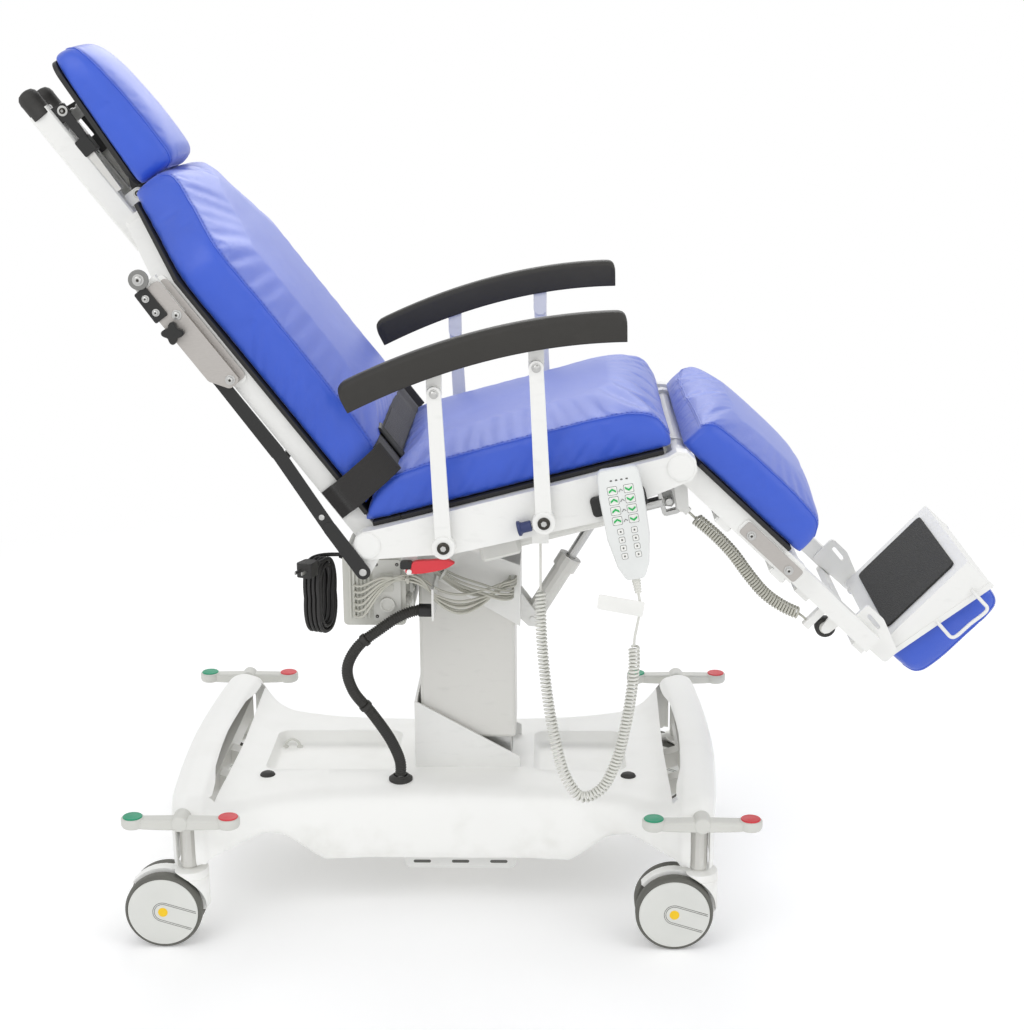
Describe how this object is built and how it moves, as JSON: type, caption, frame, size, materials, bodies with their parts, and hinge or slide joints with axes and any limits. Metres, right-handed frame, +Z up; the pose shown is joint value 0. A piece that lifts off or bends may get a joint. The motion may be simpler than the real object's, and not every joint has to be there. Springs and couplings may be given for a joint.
{
  "type": "ophthalmology procedure chair",
  "caption": "Powered eye-procedure chair on a castor base: lifting column, tilting padded seat, reclining back with headrest, folding armrests, leg rest and flip-up foot board.",
  "frame": {"origin": "on the floor under the middle of the chair's outline, without its free cords", "axes": "+X to the foot end, +Y to the sitter's left, +Z up"},
  "size_m": [1.5601, 0.7134, 1.4147],
  "materials": {
    "white_paint": "satin powder coat",
    "grey_paint": "satin",
    "cover_plastic": "satin moulded cover",
    "pale_plastic": "satin",
    "blue_vinyl": "smooth vinyl over foam",
    "black_board": "matt board",
    "charcoal_pad": "satin moulded foam",
    "black_metal": "satin",
    "webbing": "woven strap",
    "steel": "ground",
    "castor": "moulded wheel with a grey tread",
    "cord_jacket": "smooth sheath",
    "pale_jacket": "smooth sheath",
    "red_plastic": "moulded",
    "navy_plastic": "moulded"
  },
  "bodies": {
    "base": {"base_cover": "cover_plastic", "base_frame": "grey_paint", "column_shroud": "white_paint", "column_post": "steel", "lift_jack": "steel", "cable_hose": "cord_jacket"},
    "head_of_column": {"column_sleeve": "grey_paint", "lift_screw": "steel", "column_head": "white_paint", "control_box": "pale_plastic", "power_cord": "cord_jacket", "power_plug": "cord_jacket", "cable_loom": "pale_jacket"},
    "seat": {"seat_frame": "white_paint", "seat_board": "black_board", "seat_cushion": "blue_vinyl", "leg_actuator": "pale_plastic", "back_actuator": "pale_plastic", "handset": "pale_plastic", "handset_cord": "pale_jacket"},
    "tilt_drive": {"tilt_actuator": "pale_plastic"},
    "tilt_drive_rod": {"tilt_rod": "steel"},
    "back": {"back_frame": "white_paint", "back_board": "black_board", "back_cushion": "blue_vinyl", "seat_belt": "webbing", "head_channel": "white_paint"},
    "back_drive_rod": {"back_rod": "steel"},
    "back_stay": {"back_link": "black_metal"},
    "headrest": {"headrest_plate": "black_metal", "headrest_cushion": "blue_vinyl"},
    "leg": {"leg_frame": "white_paint", "leg_board": "black_board", "leg_cushion": "blue_vinyl", "leg_coil_cord": "pale_jacket"},
    "leg_drive_rod": {"leg_rod": "steel"},
    "foot_carriage": {"foot_slide": "white_paint"},
    "guide_roller": {"foot_roller": "charcoal_pad"},
    "foot_board": {"foot_plate": "white_paint", "grip_pad": "black_board", "foot_cushion": "blue_vinyl"},
    "brake_front": {"front_brake_bar": "pale_plastic"},
    "brake_rear": {"rear_brake_bar": "pale_plastic"},
    "release": {"release_lever": "red_plastic"},
    "armrest_right": {"armrest_right": "charcoal_pad"},
    "post_front_right": {"armrest_post_front_right": "white_paint"},
    "post_rear_right": {"armrest_post_rear_right": "white_paint"},
    "lock_right": {"lock_plunger_right": "navy_plastic"},
    "armrest_left": {"armrest_left": "charcoal_pad"},
    "post_front_left": {"armrest_post_front_left": "white_paint"},
    "post_rear_left": {"armrest_post_rear_left": "white_paint"},
    "lock_left": {"lock_plunger_left": "navy_plastic"},
    "fork_rear_right": {"castor_fork_rear_right": "cover_plastic"},
    "wheels_rear_right": {"castor_wheels_rear_right": "castor"},
    "fork_rear_left": {"castor_fork_rear_left": "cover_plastic"},
    "wheels_rear_left": {"castor_wheels_rear_left": "castor"},
    "fork_front_right": {"castor_fork_front_right": "cover_plastic"},
    "wheels_front_right": {"castor_wheels_front_right": "castor"},
    "fork_front_left": {"castor_fork_front_left": "cover_plastic"},
    "wheels_front_left": {"castor_wheels_front_left": "castor"}
  },
  "joints": [
    {"name": "column_lift", "type": "slide", "parent": "base", "child": "head_of_column", "axis": [0, 0, 1], "range_m": [0, 0.22]},
    {"name": "seat_tilt", "type": "hinge", "parent": "head_of_column", "child": "seat", "pos_m": [-0.1, 0, 0.6], "axis": [0, 1, 0], "range_deg": [-6, 13]},
    {"name": "tilt_drive_pivot", "type": "hinge", "parent": "head_of_column", "child": "tilt_drive", "pos_m": [0.032, 0, 0.462], "axis": [0, 1, 0], "range_deg": [-5.2, 11]},
    {"name": "tilt_drive_stroke", "type": "slide", "parent": "tilt_drive", "child": "tilt_drive_rod", "axis": [0.5257, 0, 0.8507], "range_m": [-0.0435, 0.0205]},
    {"name": "back_recline", "type": "hinge", "parent": "seat", "child": "back", "pos_m": [-0.219, 0, 0.667], "axis": [0, 1, 0], "range_deg": [-68, 5]},
    {"name": "back_drive_stroke", "type": "slide", "parent": "seat", "child": "back_drive_rod", "axis": [0.9688, 0, 0.2477], "range_m": [-0.0075, 0.0965]},
    {"name": "back_stay_pivot", "type": "hinge", "parent": "seat", "child": "back_stay", "pos_m": [-0.226, 0, 0.626], "axis": [0, 1, 0], "range_deg": [-68.5, 5.5]},
    {"name": "headrest_tilt", "type": "hinge", "parent": "back", "child": "headrest", "pos_m": [-0.60012, 0, 1.18504], "axis": [0, 1, 0], "range_deg": [-8, 12]},
    {"name": "leg_lift", "type": "hinge", "parent": "seat", "child": "leg", "pos_m": [0.262, 0, 0.79], "axis": [0, 1, 0], "range_deg": [-54, 12]},
    {"name": "leg_drive_stroke", "type": "slide", "parent": "seat", "child": "leg_drive_rod", "axis": [0.9688, 0, 0.2477], "range_m": [-0.0172, 0.0757]},
    {"name": "foot_extend", "type": "slide", "parent": "leg", "child": "foot_carriage", "axis": [0.7254, 0, -0.6884], "range_m": [0, 0.1]},
    {"name": "footrest_fold", "type": "hinge", "parent": "foot_carriage", "child": "foot_board", "pos_m": [0.60235, 0, 0.46151], "axis": [0, 1, 0], "range_deg": [-88, 0]},
    {"name": "roller_spin", "type": "hinge", "parent": "foot_carriage", "child": "guide_roller", "pos_m": [0.50431, -0.19, 0.50492], "axis": [0, 1, 0], "continuous": true},
    {"name": "armrest_fold_right", "type": "hinge", "parent": "seat", "child": "post_front_right", "pos_m": [0.05398, -0.303, 0.7079], "axis": [0, 1, 0], "range_deg": [-75, 0]},
    {"name": "armrest_rear_post_right", "type": "hinge", "parent": "seat", "child": "post_rear_right", "pos_m": [-0.10016, -0.303, 0.66849], "axis": [0, 1, 0], "range_deg": [-75.5, 0.5]},
    {"name": "armrest_level_right", "type": "hinge", "parent": "post_front_right", "child": "armrest_right", "pos_m": [0.04299, -0.303, 0.94765], "axis": [0, 1, 0], "range_deg": [-0.5, 75.5]},
    {"name": "lock_pull_right", "type": "slide", "parent": "post_front_right", "child": "lock_right", "axis": [-0.9688, 0, -0.2477], "range_m": [0, 0.008], "stiffness_N_per_m": 300, "springref_m": -0.01},
    {"name": "armrest_fold_left", "type": "hinge", "parent": "seat", "child": "post_front_left", "pos_m": [0.05398, 0.303, 0.7079], "axis": [0, 1, 0], "range_deg": [-75, 0]},
    {"name": "armrest_rear_post_left", "type": "hinge", "parent": "seat", "child": "post_rear_left", "pos_m": [-0.10016, 0.303, 0.66849], "axis": [0, 1, 0], "range_deg": [-75.5, 0.5]},
    {"name": "armrest_level_left", "type": "hinge", "parent": "post_front_left", "child": "armrest_left", "pos_m": [0.04299, 0.303, 0.94765], "axis": [0, 1, 0], "range_deg": [-0.5, 75.5]},
    {"name": "lock_pull_left", "type": "slide", "parent": "post_front_left", "child": "lock_left", "axis": [-0.9688, 0, -0.2477], "range_m": [0, 0.008], "stiffness_N_per_m": 300, "springref_m": -0.01},
    {"name": "swivel_rear_right", "type": "hinge", "parent": "base", "child": "fork_rear_right", "pos_m": [-0.522, -0.29, 0.16], "axis": [0, 0, 1], "continuous": true},
    {"name": "roll_rear_right", "type": "hinge", "parent": "fork_rear_right", "child": "wheels_rear_right", "pos_m": [-0.562, -0.29, 0.0625], "axis": [0, 1, 0], "continuous": true},
    {"name": "swivel_rear_left", "type": "hinge", "parent": "base", "child": "fork_rear_left", "pos_m": [-0.522, 0.29, 0.16], "axis": [0, 0, 1], "continuous": true},
    {"name": "roll_rear_left", "type": "hinge", "parent": "fork_rear_left", "child": "wheels_rear_left", "pos_m": [-0.562, 0.29, 0.0625], "axis": [0, 1, 0], "continuous": true},
    {"name": "brake_rear_press", "type": "hinge", "parent": "base", "child": "brake_rear", "pos_m": [-0.522, 0, 0.228], "axis": [0, 1, 0], "range_deg": [-15, 15]},
    {"name": "swivel_front_right", "type": "hinge", "parent": "base", "child": "fork_front_right", "pos_m": [0.302, -0.29, 0.16], "axis": [0, 0, 1], "continuous": true},
    {"name": "roll_front_right", "type": "hinge", "parent": "fork_front_right", "child": "wheels_front_right", "pos_m": [0.262, -0.29, 0.0625], "axis": [0, 1, 0], "continuous": true},
    {"name": "swivel_front_left", "type": "hinge", "parent": "base", "child": "fork_front_left", "pos_m": [0.302, 0.29, 0.16], "axis": [0, 0, 1], "continuous": true},
    {"name": "roll_front_left", "type": "hinge", "parent": "fork_front_left", "child": "wheels_front_left", "pos_m": [0.262, 0.29, 0.0625], "axis": [0, 1, 0], "continuous": true},
    {"name": "brake_front_press", "type": "hinge", "parent": "base", "child": "brake_front", "pos_m": [0.302, 0, 0.228], "axis": [0, 1, 0], "range_deg": [-15, 15]},
    {"name": "release_pull", "type": "hinge", "parent": "seat", "child": "release", "pos_m": [-0.15475, -0.284, 0.62563], "axis": [0, 1, 0], "range_deg": [0, 15], "stiffness_Nm_per_rad": 0.4, "springref_deg": -20.05}
  ],
  "couplings": [
    {"joint": "tilt_drive_pivot", "follows": "seat_tilt", "ratio": 0.81578},
    {"joint": "tilt_drive_stroke", "follows": "seat_tilt", "m_per_rad": -0.18766},
    {"joint": "back_drive_stroke", "follows": "back_recline", "m_per_rad": -0.08075},
    {"joint": "back_stay_pivot", "follows": "back_recline", "ratio": 1},
    {"joint": "leg_drive_stroke", "follows": "leg_lift", "m_per_rad": -0.07975},
    {"joint": "armrest_rear_post_right", "follows": "armrest_fold_right", "ratio": 1},
    {"joint": "armrest_level_right", "follows": "armrest_fold_right", "ratio": -1},
    {"joint": "armrest_rear_post_left", "follows": "armrest_fold_left", "ratio": 1},
    {"joint": "armrest_level_left", "follows": "armrest_fold_left", "ratio": -1},
    {"joint": "brake_rear_press", "follows": "brake_front_press", "ratio": 1}
  ]
}
